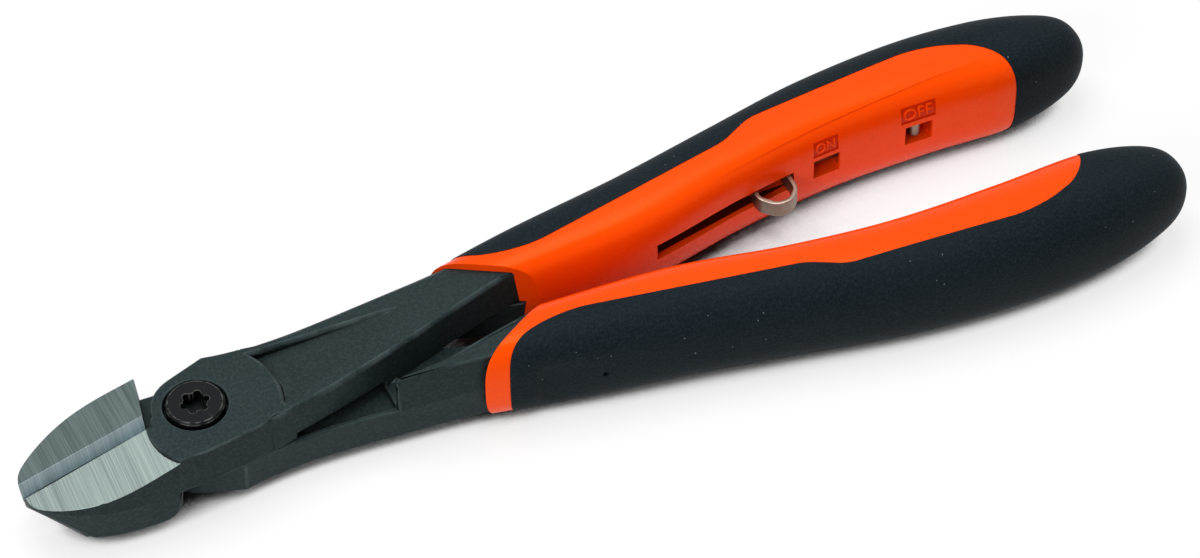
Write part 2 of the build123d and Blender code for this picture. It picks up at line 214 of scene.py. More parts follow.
class Sheet:
    """Node tree of one material, with short ways to add and join its nodes."""

    def __init__(self, name: str) -> None:
        """Starts a material that holds one Principled BSDF.

        Args:
            name: Name of the material.
        """
        self.material = bpy.data.materials.new(name)
        self.material.use_nodes = True
        self.tree = self.material.node_tree
        self.shader = self.tree.nodes["Principled BSDF"]
        self.coords = self.tree.nodes.new("ShaderNodeTexCoord").outputs["Object"]

    def node(self, kind: str, **settings: object) -> bpy.types.Node:
        """Adds a node and sets its properties.

        Args:
            kind: Blender's name of the node type.
            settings: Properties of the node.

        Returns:
            The new node.
        """
        made = self.tree.nodes.new(kind)
        for key, value in settings.items():
            setattr(made, key, value)
        return made

    def join(self, source: bpy.types.NodeSocket, target: bpy.types.NodeSocket) -> None:
        """Links one socket to another."""
        self.tree.links.new(source, target)

    def group(self, tree: bpy.types.NodeTree, **values: float) -> bpy.types.Node:
        """Places a shared effect, fed with the object's coordinates.

        Args:
            tree: Node group of the effect.
            values: Values of its inputs, by name with underscores for spaces.

        Returns:
            The group's node.
        """
        made = self.node("ShaderNodeGroup", node_tree=tree)
        for key, value in values.items():
            made.inputs[key.replace("_", " ")].default_value = value
        self.join(self.coords, made.inputs["Coordinates"])
        return made

    def noise(self, effects: Effects, grain: Grain) -> bpy.types.NodeSocket:
        """Places the shared noise.

        Args:
            effects: The shared effects.
            grain: Its waves and its detail.

        Returns:
            The noise's socket.
        """
        x, y, z, detail = grain
        return self.group(effects.noise, Along_X=x, Along_Y=y, Along_Z=z, Detail=detail).outputs["Value"]

    def worn_and_highlit(self, effects: Effects, wear_and_highlight: Range) -> bpy.types.NodeSocket:
        """Places the shared edge wear, which also paints a highlight along the edges.

        Args:
            effects: The shared effects.
            wear_and_highlight: Its amount, and its patches per metre.

        Returns:
            The mask's socket.
        """
        return self.group(effects.wear_and_highlight, Amount=wear_and_highlight[0], Patch_Scale=wear_and_highlight[1]).outputs["Mask"]

    def skin(self, colour: bpy.types.NodeSocket, value: bpy.types.NodeSocket, roughness: Range) -> None:
        """Feeds the shader its colour and its roughness.

        Args:
            colour: Socket with the colour.
            value: Socket of what the roughness follows.
            roughness: Roughness where that is 0 and where it is 1.
        """
        self.join(colour, self.shader.inputs["Base Color"])
        self.join(self.spread(value, *roughness), self.shader.inputs["Roughness"])

    def mix(self, factor: object, low: object, high: object) -> bpy.types.NodeSocket:
        """Mixes two colours.

        Args:
            factor: Socket or number.
            low: Socket or colour where the factor is 0.
            high: Socket or colour where the factor is 1.

        Returns:
            The mixed colour's socket.
        """
        made = self.node("ShaderNodeMix", data_type="RGBA")
        for value, socket in ((factor, made.inputs[0]), (low, made.inputs[6]), (high, made.inputs[7])):
            if isinstance(value, bpy.types.NodeSocket):
                self.join(value, socket)
            elif isinstance(value, tuple):
                socket.default_value = (*value, 1.0)
            else:
                socket.default_value = value
        return made.outputs[2]

    def spread(
        self, value: bpy.types.NodeSocket, low: float, high: float, part: Range = (0.0, 1.0)
    ) -> bpy.types.NodeSocket:
        """Stretches a part of a value's range between two numbers.

        Args:
            value: Socket with the value.
            low: Result at the part's start and below it.
            high: Result at the part's end and above it.
            part: Start and end of the part.

        Returns:
            The stretched value's socket.
        """
        made = self.node("ShaderNodeMapRange")
        made.inputs["From Min"].default_value, made.inputs["From Max"].default_value = part
        made.inputs["To Min"].default_value = low
        made.inputs["To Max"].default_value = high
        self.join(value, made.inputs["Value"])
        return made.outputs["Result"]

    def reflect(self, level: float, tint: Colour) -> None:
        """Sets how strongly a plastic or a coating mirrors, and in what tint.

        Args:
            level: Specular level, 0.5 for plain plastic.
            tint: Tint of what is mirrored straight on.
        """
        self.shader.inputs["Specular IOR Level"].default_value = level
        self.shader.inputs["Specular Tint"].default_value = (*tint, 1.0)

    def bump(self, height: bpy.types.NodeSocket, strength: float, depth_mm: float) -> None:
        """Feeds a height into the shader's normal.

        Args:
            height: Socket with the height.
            strength: Strength of the bump.
            depth_mm: Depth that a height of 1 stands for, in millimetres.
        """
        made = self.node("ShaderNodeBump")
        made.inputs["Strength"].default_value = strength
        made.inputs["Distance"].default_value = depth_mm * MM
        self.join(height, made.inputs["Height"])
        self.join(made.outputs["Normal"], self.shader.inputs["Normal"])


@dataclass(frozen=True)
class ForgedSteel:
    """Black phosphated forging, satin, with worn edges that also carry a painted highlight, and painted shade
    in its corners.
    """

    colour: Colour = (0.0075, 0.0120, 0.0125)
    mottle: Colour = (0.0165, 0.0240, 0.0250)
    grit: Colour = (0.0250, 0.0345, 0.0355)
    # Worn bare steel on the edges, lighter also as a painted highlight
    bare_and_highlight: Colour = (0.080, 0.100, 0.105)
    # Painted shade that darkens the forging's corners
    corner_painted_shade: Colour = (0.0012, 0.0018, 0.0020)
    patches: Grain = (90.0, 90.0, 90.0, 6.0)
    cast: Grain = (1700.0, 1700.0, 1700.0, 6.0)
    # Grain between which the grit goes from none to its most
    grit_part: Range = (0.42, 0.66)
    grit_most: float = 0.7
    cast_bump: float = 0.45
    cast_depth_mm: float = 0.07
    # Amount of wear and painted edge highlight, and its patches per metre
    wear_and_highlight: Range = (0.42, 150.0)
    corner_mm: float = 3.0
    # Openness between which a corner goes from painted shade to none
    corner_part: Range = (0.40, 0.92)
    corner_shade_most: float = 0.9
    roughness: Range = (0.36, 0.52)
    gloss: float = 0.12
    gloss_tint: Colour = (0.58, 0.92, 1.0)

    def build(self, effects: Effects) -> bpy.types.Material:
        """Makes the material.

        Args:
            effects: The shared effects.

        Returns:
            The material.
        """
        sheet = Sheet("black_phosphate")
        patches = sheet.noise(effects, self.patches)
        cast = sheet.noise(effects, self.cast)
        worn_and_highlit = sheet.worn_and_highlit(effects, self.wear_and_highlight)
        base = sheet.mix(patches, self.colour, self.mottle)
        base = sheet.mix(sheet.spread(cast, 0.0, self.grit_most, self.grit_part), base, self.grit)
        # Painted shade: the colour darkens where the forging's own faces close in round a corner
        corner = sheet.node("ShaderNodeAmbientOcclusion", samples=8, only_local=True)
        corner.inputs["Distance"].default_value = self.corner_mm * MM
        corner_shaded = sheet.spread(corner.outputs["AO"], self.corner_shade_most, 0.0, self.corner_part)
        base = sheet.mix(corner_shaded, base, self.corner_painted_shade)
        sheet.skin(sheet.mix(worn_and_highlit, base, self.bare_and_highlight), patches, self.roughness)
        sheet.reflect(self.gloss, self.gloss_tint)
        sheet.bump(cast, self.cast_bump, self.cast_depth_mm)
        return sheet.material


@dataclass(frozen=True)
class GroundSteel:
    """Blade face ground bright, with fine lines across the edge."""

    name: str
    colour: Colour
    dark_line: Colour
    fine: Grain = (5200.0, 60.0, 60.0, 3.0)
    broad: Grain = (700.0, 25.0, 25.0, 2.0)
    fine_part: Range = (0.15, 0.8)
    broad_most: float = 0.4
    line_bump: float = 0.18
    line_depth_mm: float = 0.02
    roughness: Range = (0.30, 0.46)

    def build(self, effects: Effects) -> bpy.types.Material:
        """Makes the material.

        Args:
            effects: The shared effects.

        Returns:
            The material.
        """
        sheet = Sheet(self.name)
        fine = sheet.noise(effects, self.fine)
        broad = sheet.noise(effects, self.broad)
        shade = sheet.mix(sheet.spread(fine, 0.0, 1.0, self.fine_part), self.dark_line, self.colour)
        shade = sheet.mix(sheet.spread(broad, 0.0, self.broad_most), shade, self.dark_line)
        sheet.skin(shade, fine, self.roughness)
        sheet.shader.inputs["Metallic"].default_value = 1.0
        sheet.bump(fine, self.line_bump, self.line_depth_mm)
        return sheet.material


@dataclass(frozen=True)
class TurnedSteel:
    """Darkened screw head with faint turned rings about the pivot."""

    colour: Colour = (0.0030, 0.0034, 0.0034)
    # Worn bare steel on the head's edges, lighter also as a painted highlight on the chamfer
    bare_and_highlight: Colour = (0.13, 0.13, 0.12)
    rings_per_metre: float = 900.0
    ring_waver: float = 0.6
    ring_bump: float = 0.12
    ring_depth_mm: float = 0.02
    # Amount of wear and painted edge highlight, and its patches per metre
    wear_and_highlight: Range = (0.7, 700.0)
    roughness: Range = (0.26, 0.40)
    gloss: float = 0.10
    gloss_tint: Colour = (0.9, 0.95, 1.0)

    def build(self, effects: Effects) -> bpy.types.Material:
        """Makes the material.

        Args:
            effects: The shared effects.

        Returns:
            The material.
        """
        sheet = Sheet("turned_dark_steel")
        rings = sheet.node("ShaderNodeTexWave", wave_type="RINGS", rings_direction="Z")
        rings.inputs["Scale"].default_value = self.rings_per_metre
        rings.inputs["Distortion"].default_value = self.ring_waver
        sheet.join(sheet.coords, rings.inputs["Vector"])
        worn_and_highlit = sheet.worn_and_highlit(effects, self.wear_and_highlight)
        sheet.skin(sheet.mix(worn_and_highlit, self.colour, self.bare_and_highlight), rings.outputs["Fac"], self.roughness)
        sheet.reflect(self.gloss, self.gloss_tint)
        sheet.bump(rings.outputs["Fac"], self.ring_bump, self.ring_depth_mm)
        return sheet.material


@dataclass(frozen=True)
class SpringSteel:
    """Bright rolled strip with a brown temper tint and lines along it."""

    colour: Colour = (0.40, 0.335, 0.28)
    tint: Colour = (0.21, 0.15, 0.115)
    lines: Grain = (40.0, 40.0, 4200.0, 3.0)
    patches: Grain = (500.0, 500.0, 500.0, 4.0)
    line_most: float = 0.55
    line_bump: float = 0.2
    line_depth_mm: float = 0.02
    roughness: Range = (0.34, 0.52)

    def build(self, effects: Effects) -> bpy.types.Material:
        """Makes the material.

        Args:
            effects: The shared effects.

        Returns:
            The material.
        """
        sheet = Sheet("tempered_strip")
        lines = sheet.noise(effects, self.lines)
        patches = sheet.noise(effects, self.patches)
        base = sheet.mix(patches, self.colour, self.tint)
        base = sheet.mix(sheet.spread(lines, 0.0, self.line_most), base, self.tint)
        sheet.skin(base, lines, self.roughness)
        sheet.shader.inputs["Metallic"].default_value = 1.0
        sheet.bump(lines, self.line_bump, self.line_depth_mm)
        return sheet.material


@dataclass(frozen=True)
class HardPlastic:
    """Smooth orange core plastic."""

    name: str = "orange_hard_plastic"
    colour: Colour = (0.88, 0.056, 0.0003)
    light: Colour = (0.94, 0.072, 0.0006)
    flow: Grain = (22.0, 60.0, 60.0, 2.0)
    peel: Grain = (420.0, 420.0, 420.0, 2.0)
    peel_bump: float = 0.06
    peel_depth_mm: float = 0.05
    roughness: Range = (0.22, 0.32)
    gloss: float = 0.30
    gloss_tint: Colour = (1.0, 0.38, 0.09)

    def build(self, effects: Effects) -> bpy.types.Material:
        """Makes the material.

        Args:
            effects: The shared effects.

        Returns:
            The material.
        """
        sheet = Sheet(self.name)
        flow = sheet.noise(effects, self.flow)
        peel = sheet.noise(effects, self.peel)
        sheet.skin(sheet.mix(flow, self.colour, self.light), peel, self.roughness)
        sheet.reflect(self.gloss, self.gloss_tint)
        sheet.bump(peel, self.peel_bump, self.peel_depth_mm)
        return sheet.material


@dataclass(frozen=True)
class SoftGrip:
    """Black soft overmould with a fine eroded grain and a little pale dust."""

    colour: Colour = (0.0034, 0.0058, 0.0078)
    bloom: Colour = (0.0130, 0.0185, 0.0225)
    dust: Colour = (0.16, 0.18, 0.18)
    clouds: Grain = (40.0, 70.0, 70.0, 4.0)
    grain: Grain = (2300.0, 2300.0, 2300.0, 3.0)
    # Cells per metre, size and share of the small and of the large specks
    specks: tuple[Point, Point] = ((900.0, 0.10, 0.05), (240.0, 0.055, 0.12))
    cloud_most: float = 0.6
    grain_part: Range = (0.42, 0.66)
    grain_most: float = 0.9
    grain_bump: float = 0.9
    grain_depth_mm: float = 0.14
    roughness: Range = (0.46, 0.66)
    gloss: float = 0.06
    gloss_tint: Colour = (0.55, 0.82, 1.0)

    def build(self, effects: Effects) -> bpy.types.Material:
        """Makes the material.

        Args:
            effects: The shared effects.

        Returns:
            The material.
        """
        sheet = Sheet("black_soft_grip")
        clouds = sheet.noise(effects, self.clouds)
        grain = sheet.noise(effects, self.grain)
        base = sheet.mix(sheet.spread(clouds, 0.0, self.cloud_most), self.colour, self.bloom)
        base = sheet.mix(sheet.spread(grain, 0.0, self.grain_most, self.grain_part), base, self.bloom)
        for per_metre, size, share in self.specks:
            specks = sheet.group(effects.specks, Per_Metre=per_metre, Size=size, Share=share)
            base = sheet.mix(specks.outputs["Mask"], base, self.dust)
        sheet.skin(base, grain, self.roughness)
        sheet.reflect(self.gloss, self.gloss_tint)
        sheet.bump(grain, self.grain_bump, self.grain_depth_mm)
        return sheet.material


@dataclass
class Finishes:
    """Every material of the cutter, made once."""

    effects: Effects = field(default_factory=Effects)

    def __post_init__(self) -> None:
        """Builds the materials."""
        self.forged = ForgedSteel().build(self.effects)
        # One ground steel in three copies, coloured lighter or darker as painted light: the near facet
        # lighter, the far facet darker, the edge bevel lightest
        near = GroundSteel("ground_facet_near_painted_lighter", (0.235, 0.285, 0.268), (0.07, 0.09, 0.086))
        far = GroundSteel("ground_facet_far_painted_darker", (0.19, 0.245, 0.245), (0.06, 0.082, 0.082))
        edge = GroundSteel("ground_bevel_painted_lighter", (0.29, 0.36, 0.375), (0.13, 0.165, 0.17))
        self.facet_painted_lighter = near.build(self.effects)
        self.facet_painted_darker = far.build(self.effects)
        self.bevel = edge.build(self.effects)
        self.screw = TurnedSteel().build(self.effects)
        self.strip = SpringSteel().build(self.effects)
        self.orange = HardPlastic().build(self.effects)
        # Darker copies of the orange that paint shade: deep in the slot, and on the labels' sunk plates
        floor = HardPlastic("orange_slot_painted_shade", (0.05, 0.004, 0.0004), (0.07, 0.006, 0.0005))
        plate = HardPlastic("orange_label_plate_painted_shade", (0.60, 0.026, 0.0002), (0.66, 0.032, 0.0004))
        self.slot_painted_shade = floor.build(self.effects)
        self.plate_painted_shade = plate.build(self.effects)
        self.black = SoftGrip().build(self.effects)


# Mesh helpers


def add_piece(name: str, bm: bmesh.types.BMesh, materials: list[bpy.types.Material]) -> bpy.types.Object:
    """Turns a bmesh into an object at the origin.

    Args:
        name: Name of the piece.
        bm: Its mesh, freed here.
        materials: Its materials in slot order.

    Returns:
        The object.
    """
    mesh = bpy.data.meshes.new(name)
    bm.to_mesh(mesh)
    bm.free()
    for material in materials:
        mesh.materials.append(material)
    piece = bpy.data.objects.new(name, mesh)
    bpy.context.scene.collection.objects.link(piece)
    return piece


def smooth_by_angle(bm: bmesh.types.BMesh, degrees: float) -> None:
    """Shades every face smooth and marks the edges over an angle sharp.

    Args:
        bm: The mesh.
        degrees: Smallest angle of a sharp edge.
    """
    for face in bm.faces:
        face.smooth = True
    for edge in bm.edges:
        edge.smooth = edge.calc_face_angle(0.0) < math.radians(degrees)


def bevel(
    bm: bmesh.types.BMesh,
    edges: list[bmesh.types.BMEdge],
    start_mm: float,
    segments: int,
    clamped: bool = False,
) -> list[bmesh.types.BMFace]:
    """Rounds edges.

    Args:
        bm: The mesh.
        edges: The edges to round.
        start_mm: Distance from the edge at which the round starts, in millimetres.
        segments: Faces across the round.
        clamped: Whether rounds that would run into each other are held back.

    Returns:
        The new faces.
    """
    made = bmesh.ops.bevel(
        bm,
        geom=edges,
        offset=start_mm * MM,
        offset_type="OFFSET",
        segments=segments,
        profile=0.5,
        affect="EDGES",
        clamp_overlap=clamped,
        material=-1,
    )
    return made["faces"]


def round_off(
    bm: bmesh.types.BMesh, edges: list[bmesh.types.BMEdge], start_mm: float, segments: int, worn_and_highlit: float
) -> None:
    """Rounds edges and notes on the new faces how worn they are, which also sets their painted highlight.

    Args:
        bm: The mesh, which has a layer of wear and painted highlight on its faces.
        edges: The edges to round.
        start_mm: Distance from the edge at which the round starts, in millimetres.
        segments: Faces across the round.
        worn_and_highlit: Wear of the new faces, and the painted highlight that goes with it, from 0 to 1.
    """
    layer = bm.faces.layers.float["worn_and_highlit_edge"]
    for face in bevel(bm, edges, start_mm, segments):
        face[layer] = max(face[layer], worn_and_highlit)


@dataclass
class SteelPiece:
    """Steel node of the frame, shown with rounded, worn edges that also carry a painted highlight."""

    name: str
    node: str
    body: str
    slot: str
    round_mm: float
    edge_degrees: float = 24.0
    smooth_degrees: float = 32.0
    weld_mm: float = 0.002
    flat_degrees: float = 0.6

    def mesh(self, frame: dict) -> bmesh.types.BMesh:
        """Merged copy of the node's mesh, its edges rounded and marked as worn, which also sets their painted
        highlight.

        Returns:
            The mesh.
        """
        bm = bmesh.new()
        bm.from_mesh(frame["nodes"][self.node].data)
        bmesh.ops.remove_doubles(bm, verts=bm.verts, dist=self.weld_mm * MM)
        bmesh.ops.dissolve_limit(
            bm,
            angle_limit=math.radians(self.flat_degrees),
            use_dissolve_boundaries=False,
            verts=bm.verts,
            edges=bm.edges,
        )
        bm.faces.layers.float.new("worn_and_highlit_edge")
        self.paint(bm)
        self.round_edges(bm)
        return bm

    def round_edges(self, bm: bmesh.types.BMesh) -> None:
        """Rounds every convex edge over the piece's edge angle.

        Args:
            bm: The piece's mesh.
        """
        limit = math.radians(self.edge_degrees)
        convex = [e for e in bm.edges if e.calc_face_angle_signed(0.0) > limit]
        round_off(bm, convex, self.round_mm, 2, 1.0)

    def paint(self, bm: bmesh.types.BMesh) -> None:
        """Gives faces their material slots; plain steel has one."""

    def crease(self, bm: bmesh.types.BMesh) -> None:
        """Keeps low edges sharp; plain steel has none."""

    def build(self, frame: dict, materials: list[bpy.types.Material]) -> bpy.types.Object:
        """Makes the piece in place of its node.

        Args:
            materials: Its materials in slot order.

        Returns:
            The piece.
        """
        bm = self.mesh(frame)
        smooth_by_angle(bm, self.smooth_degrees)
        self.crease(bm)
        piece = add_piece(self.name, bm, materials)
        weighted = piece.modifiers.new("even_normals", "WEIGHTED_NORMAL")
        weighted.keep_sharp = True
        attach(piece, self.body)
        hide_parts(self.node)
        LOG.info("%s: %d faces", piece.name, len(piece.data.polygons))
        return piece


@dataclass
class Forging(SteelPiece):
    """Forged half whose blade faces are ground bright."""

    side: float = -1.0
    ridge_fall: float = 0.298
    outward_fall: float = 0.14
    bevel_width: float = 1.37
    bevel_depth: float = 2.0
    flank_degrees: float = 10.0
    # The ground faces end before this X, and point within this cosine of their direction
    ground_x: float = -4.0
    ground_cosine: float = 0.9995
    keen_mm: float = 0.05
    jaw_round_mm: float = 0.9
    heel_round_mm: float = 3.0
    jaw_back_x: float = -5.5
    heel_x: float = -13.0
    # Height of the underside, least run of the heel's edge, least height and Y of the rear corner
    underside_mm: float = 0.5
    heel_run_mm: float = 4.0
    corner_tall_mm: float = 3.0
    corner_y: float = 8.0
    arm_round_mm: float = 0.7
    low_arm_round_mm: float = 0.4
    arm_x: Range = (9.0, 58.0)
    arm_top_share: float = 0.85
    parting_mm: float = 0.1
    parting_degrees: float = 3.0

    def paint(self, bm: bmesh.types.BMesh) -> None:
        """Marks the facet, the bevel and the flank by the directions they face.

        Args:
            bm: The forging's mesh.
        """
        facet = Vector((-self.ridge_fall, self.side * self.outward_fall, 1.0)).normalized()
        width, depth = self.bevel_width, self.bevel_depth
        ground_bevel_painted_lighter = Vector((-self.ridge_fall * width, -self.side * depth, width)).normalized()
        slope = math.tan(math.radians(self.flank_degrees))
        flank = Vector((slope * self.ridge_fall, -self.side, -slope)).normalized()
        bm.normal_update()
        for face in bm.faces:
            if face.calc_center_median().x > self.ground_x * MM:
                continue
            if face.normal.dot(facet) > self.ground_cosine:
                face.material_index = 1
            elif max(face.normal.dot(ground_bevel_painted_lighter), face.normal.dot(flank)) > self.ground_cosine:
                face.material_index = 2

    def round_edges(self, bm: bmesh.types.BMesh) -> None:
        """Rounds the jaw's lower corners most, the forged edges less and the ground edges hardly at all.

        Args:
            bm: The forging's mesh.
        """
        limit = math.radians(self.edge_degrees)

        def ground(edge: bmesh.types.BMEdge) -> bool:
            """Whether a ground face meets the edge."""
            return any(face.material_index > 0 for face in edge.link_faces)

        def low_jaw(edge: bmesh.types.BMEdge) -> bool:
            """Whether the edge is on the jaw's underside or round its heel, well away from the hub."""
            for vert in edge.verts:
                reach = self.heel_round_mm if vert.co.x > self.heel_x * MM else 0.0
                if vert.co.x >= self.jaw_back_x * MM or vert.co.z >= (self.underside_mm + reach) * MM:
                    return False
            return True

        def heel(edge: bmesh.types.BMEdge) -> bool:
            """Whether the edge runs across the jaw's underside at its back."""
            across = abs(edge.verts[0].co.y - edge.verts[1].co.y) > self.heel_run_mm * MM
            low = all(v.co.z < self.underside_mm * MM for v in edge.verts)
            return across and low and all(v.co.x > self.heel_x * MM for v in edge.verts)

        def rear_corner(edge: bmesh.types.BMEdge) -> bool:
            """Whether the edge stands up at the outer corner of the jaw's back."""
            low, high = sorted(edge.verts, key=lambda v: v.co.z)
            tall = high.co.z - low.co.z > self.corner_tall_mm * MM
            below_lap = high.co.z < (HEAD_HALF + self.underside_mm) * MM
            outer = low.co.x < self.jaw_back_x * MM and abs(low.co.y) > self.corner_y * MM
            return tall and below_lap and outer

        def arm(edge: bmesh.types.BMEdge) -> bool:
            """Whether the edge is on the arm, clear of the hub and of the tang."""
            start, end = self.arm_x
            return all(start * MM < v.co.x < end * MM for v in edge.verts)

        def arm_top(edge: bmesh.types.BMEdge) -> bool:
            """Whether the edge is on the arm's upper face."""
            height = 2.0 * self.arm_top_share * HEAD_HALF
            return arm(edge) and all(v.co.z > height * MM for v in edge.verts)

        # Each round's wear, which also sets how much painted highlight its edges get
        for wanted, radius, segments, worn_and_highlit in (
            (lambda e: low_jaw(e) and heel(e), self.heel_round_mm, 6, 0.0),
            (lambda e: low_jaw(e) or rear_corner(e), self.jaw_round_mm, 4, 0.3),
            (arm_top, self.arm_round_mm, 5, 1.0),
            (arm, self.low_arm_round_mm, 5, 0.6),
        ):
            convex = [e for e in bm.edges if e.calc_face_angle_signed(0.0) > limit and not ground(e)]
            round_off(bm, [e for e in convex if wanted(e)], radius, segments, worn_and_highlit)
            bm.normal_update()
        convex = [e for e in bm.edges if e.calc_face_angle_signed(0.0) > limit and not ground(e)]
        forged = [e for e in convex if e.verts[0].co.x < self.arm_x[1] * MM]
        round_off(bm, forged, self.round_mm, 3, 1.0)
        bm.normal_update()
        keen = [e for e in bm.edges if e.calc_face_angle_signed(0.0) > limit and ground(e)]
        round_off(bm, keen, self.keen_mm, 1, 0.0)

    def crease(self, bm: bmesh.types.BMesh) -> None:
        """Keeps the ground faces' borders and the parting line of the forging dies sharp.

        Args:
            bm: The forging's mesh.
        """
        for edge in bm.edges:
            parted = all(abs(v.co.z - HEAD_HALF * MM) < self.parting_mm * MM for v in edge.verts)
            border = len({face.material_index for face in edge.link_faces}) > 1
            if (parted or border) and edge.calc_face_angle(0.0) > math.radians(self.parting_degrees):
                edge.smooth = False


@dataclass
class ReturnSpring:
    """Flat strip bent to a loop, with a rolled eye at its rear end."""

    thick: float = 0.8
    width: float = 3.0
    leg_y: float = 12.6
    eye_x: float = 136.5
    eye_reach: float = 0.7
    eye_steps: int = 16
    eye_degrees: float = 300.0
    bends: tuple[Range, ...] = ((110.9, 12.6), (110.9, 6.2), (108.9, 4.1), (106.3, 4.1), (104.0, 6.6))
    free_end: Range = (104.4, 9.6)
    bend_mm: float = 0.95
    bend_steps: int = 9
    edge_round_mm: float = 0.12
    edge_degrees: float = 50.0

    def build(self, finishes: Finishes) -> bpy.types.Object:
        """Makes the strip in place of its node.

        Args:
            finishes: The cutter's materials.

        Returns:
            The strip.
        """
        bm = bmesh.new()
        left = [self.eye_degrees * (1.0 - i / self.eye_steps) for i in range(self.eye_steps)]
        turns = [math.radians(90.0 - degrees) for degrees in left]
        reach, eye_y = self.eye_reach, self.leg_y - self.eye_reach
        eye = [(self.eye_x + reach * math.cos(t), eye_y + reach * math.sin(t)) for t in turns]
        line = [*eye, (self.eye_x, self.leg_y), *self.bends, self.free_end]
        verts = [bm.verts.new(mm(x, y, -self.width / 2)) for x, y in line]
        edges = [bm.edges.new(pair) for pair in zip(verts, verts[1:])]
        raised = bmesh.ops.extrude_edge_only(bm, edges=edges)
        top = [g for g in raised["geom"] if isinstance(g, bmesh.types.BMVert)]
        bmesh.ops.translate(bm, verts=top, vec=(0.0, 0.0, self.width * MM))
        folds = [e for e in bm.edges if len(e.link_faces) == 2]
        starts = [(round(e.verts[0].co.x / MM, 3), round(e.verts[0].co.y / MM, 3)) for e in folds]
        bent = [e for e, start in zip(folds, starts) if start in self.bends]
        bevel(bm, bent, self.bend_mm, self.bend_steps)
        piece = add_piece("return_spring_skin", bm, [finishes.strip])
        wall = piece.modifiers.new("strip_thickness", "SOLIDIFY")
        wall.thickness = self.thick * MM
        wall.offset = 0.0
        wall.use_even_offset = True
        edge = piece.modifiers.new("rolled_edge", "BEVEL")
        edge.width = self.edge_round_mm * MM
        edge.segments = 2
        edge.limit_method = "ANGLE"
        edge.angle_limit = math.radians(self.edge_degrees)
        for face in piece.data.polygons:
            face.use_smooth = True
        even = piece.modifiers.new("even_normals", "WEIGHTED_NORMAL")
        even.keep_sharp = True
        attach(piece, "spring")
        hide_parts("return_spring")
        LOG.info("%s: strip with %d bends", piece.name, len(self.bends))
        return piece


# Handles


def smooth_through(knots: list[float], values: list[float], place: float) -> float:
    """Reads the smooth curve through given values at a place.

    Args:
        knots: Places of the values, from high to low.
        values: The values.
        place: Where the curve is read.

    Returns:
        The curve's value.
    """
    index = 0
    while index < len(knots) - 2 and place < knots[index + 1]:
        index += 1
    span = knots[index + 1] - knots[index]
    t = (place - knots[index]) / span

    def rise(i: int) -> float:
        """Rise of the curve at a knot over the present span, from the knot's neighbours."""
        before, after = max(i - 1, 0), min(i + 1, len(knots) - 1)
        return (values[after] - values[before]) / (knots[after] - knots[before]) * span

    return (
        (2 * t**3 - 3 * t**2 + 1) * values[index]
        + (t**3 - 2 * t**2 + t) * rise(index)
        + (3 * t**2 - 2 * t**3) * values[index + 1]
        + (t**3 - t**2) * rise(index + 1)
    )


class HandleSide(Enum):
    """Which side of the tool's middle a handle is on."""

    SPRING = 1.0
    PLAIN = -1.0


